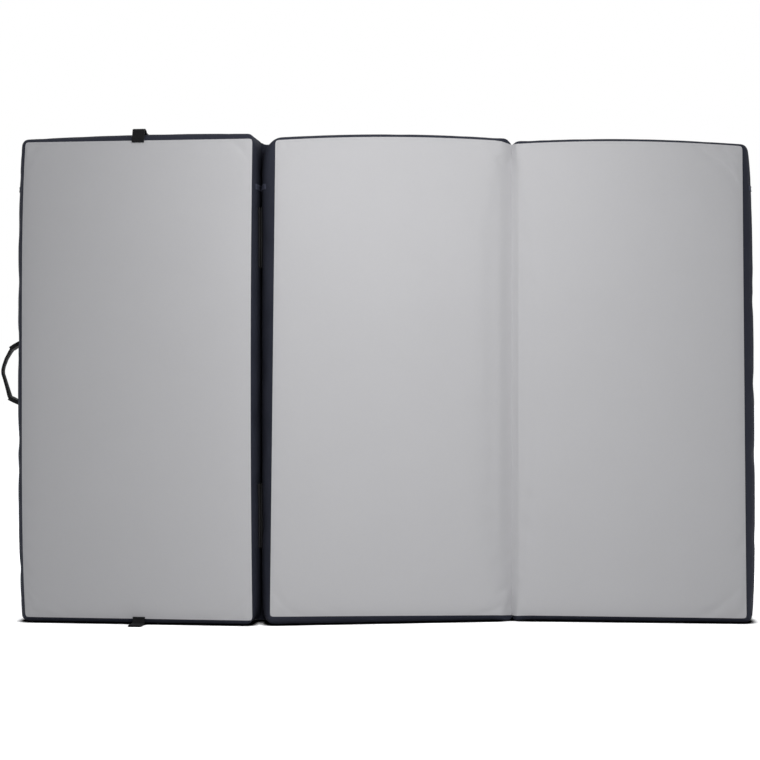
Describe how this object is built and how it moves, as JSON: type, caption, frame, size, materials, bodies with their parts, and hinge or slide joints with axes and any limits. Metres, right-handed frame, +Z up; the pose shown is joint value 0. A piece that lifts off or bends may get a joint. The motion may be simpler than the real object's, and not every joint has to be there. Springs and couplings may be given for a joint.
{
  "type": "bouldering crash pad",
  "caption": "Folding bouldering crash pad with pale landing faces, slate side cloth, a side handle, closure tabs and a carrying harness.",
  "frame": {"origin": "on the floor under the middle of the middle panel's bottom edge", "axes": "+X along the open pad, +Y from the landing faces to the backs, +Z up along the panels"},
  "size_m": [1.5554, 0.1775, 1.0116],
  "materials": {
    "landing_cloth": "matte",
    "side_cloth": "matte",
    "base_cloth": "matte",
    "firm_foam": "matte",
    "soft_foam": "matte",
    "webbing": "matte",
    "closure_strip": "matte",
    "strap_pad": "matte",
    "buckle_plastic": "satin",
    "zip_coil": "satin",
    "zip_slider": "satin",
    "hook_metal": "satin"
  },
  "bodies": {
    "middle_panel": {"middle_landing_sheet": "landing_cloth", "middle_base_sheet": "base_cloth", "middle_upper_band": "side_cloth", "middle_lower_band": "side_cloth", "middle_firm_foam": "firm_foam", "middle_soft_core": "soft_foam", "middle_zip": "zip_coil", "middle_upper_closure_strip": "closure_strip", "middle_lower_closure_strip": "closure_strip"},
    "left_panel": {"left_landing_sheet": "landing_cloth", "left_base_sheet": "base_cloth", "left_upper_band": "side_cloth", "left_lower_band": "side_cloth", "left_firm_foam": "firm_foam", "left_soft_core": "soft_foam", "left_zip": "zip_coil", "left_upper_closure_strip": "closure_strip", "left_lower_closure_strip": "closure_strip", "closure_tab_top": "webbing", "closure_tab_bottom": "webbing", "handle_upper_anchor": "webbing", "handle_lower_anchor": "webbing"},
    "right_panel": {"right_landing_sheet": "landing_cloth", "right_base_sheet": "base_cloth", "right_upper_band": "side_cloth", "right_lower_band": "side_cloth", "right_firm_foam": "firm_foam", "right_soft_core": "soft_foam", "right_zip": "zip_coil", "shoulder_strap_left": "strap_pad", "lock_loop_left": "webbing", "ladder_lock_left": "buckle_plastic", "adjusting_webbing_left": "webbing", "anchor_patch_left": "base_cloth", "waist_belt_left": "webbing", "belt_patch_left": "base_cloth", "shoulder_strap_right": "strap_pad", "lock_loop_right": "webbing", "ladder_lock_right": "buckle_plastic", "adjusting_webbing_right": "webbing", "anchor_patch_right": "base_cloth", "waist_belt_right": "webbing", "belt_patch_right": "base_cloth", "shoulder_yoke": "base_cloth", "buckle_socket": "buckle_plastic", "buckle_tongue": "buckle_plastic", "upper_closure_strap": "webbing", "upper_closure_patch": "base_cloth", "lower_closure_strap": "webbing", "lower_closure_patch": "base_cloth"},
    "side_handle": {"side_handle": "webbing"},
    "left_zip_slider": {"left_zip_slider": "zip_slider"},
    "middle_zip_slider": {"middle_zip_slider": "zip_slider"},
    "right_zip_slider": {"right_zip_slider": "zip_slider"},
    "upper_closure_hook": {"upper_closure_hook": "hook_metal"},
    "lower_closure_hook": {"lower_closure_hook": "hook_metal"}
  },
  "joints": [
    {"name": "left_panel_fold", "type": "hinge", "parent": "middle_panel", "child": "left_panel", "pos_m": [-0.25938, 0.01275, 0.5], "axis": [0, 0, -1], "range_deg": [-14, 158]},
    {"name": "right_panel_fold", "type": "hinge", "parent": "middle_panel", "child": "right_panel", "pos_m": [0.25938, -0.01275, 0.5], "axis": [0, 0, -1], "range_deg": [-12, 162]},
    {"name": "side_handle_swing", "type": "hinge", "parent": "left_panel", "child": "side_handle", "pos_m": [-0.77336, 0.02451, 0.512], "axis": [0, 0, 1], "range_deg": [-40, 40]},
    {"name": "left_zip_slide", "type": "slide", "parent": "left_panel", "child": "left_zip_slider", "axis": [0.9936, -0.1132, 0], "range_m": [0, 0.334]},
    {"name": "middle_zip_slide", "type": "slide", "parent": "middle_panel", "child": "middle_zip_slider", "axis": [0.9914, 0.1305, 0], "range_m": [0, 0.334]},
    {"name": "right_zip_slide", "type": "slide", "parent": "right_panel", "child": "right_zip_slider", "axis": [0.9969, -0.0785, 0], "range_m": [0, 0.334]},
    {"name": "upper_hook_swing", "type": "hinge", "parent": "right_panel", "child": "upper_closure_hook", "pos_m": [0.51336, 0.07255, 0.652], "axis": [0.9969, -0.0785, 0], "range_deg": [0, 130]},
    {"name": "lower_hook_swing", "type": "hinge", "parent": "right_panel", "child": "lower_closure_hook", "pos_m": [0.51341, 0.07325, 0.125], "axis": [0.9969, -0.0785, 0], "range_deg": [0, 130]}
  ]
}
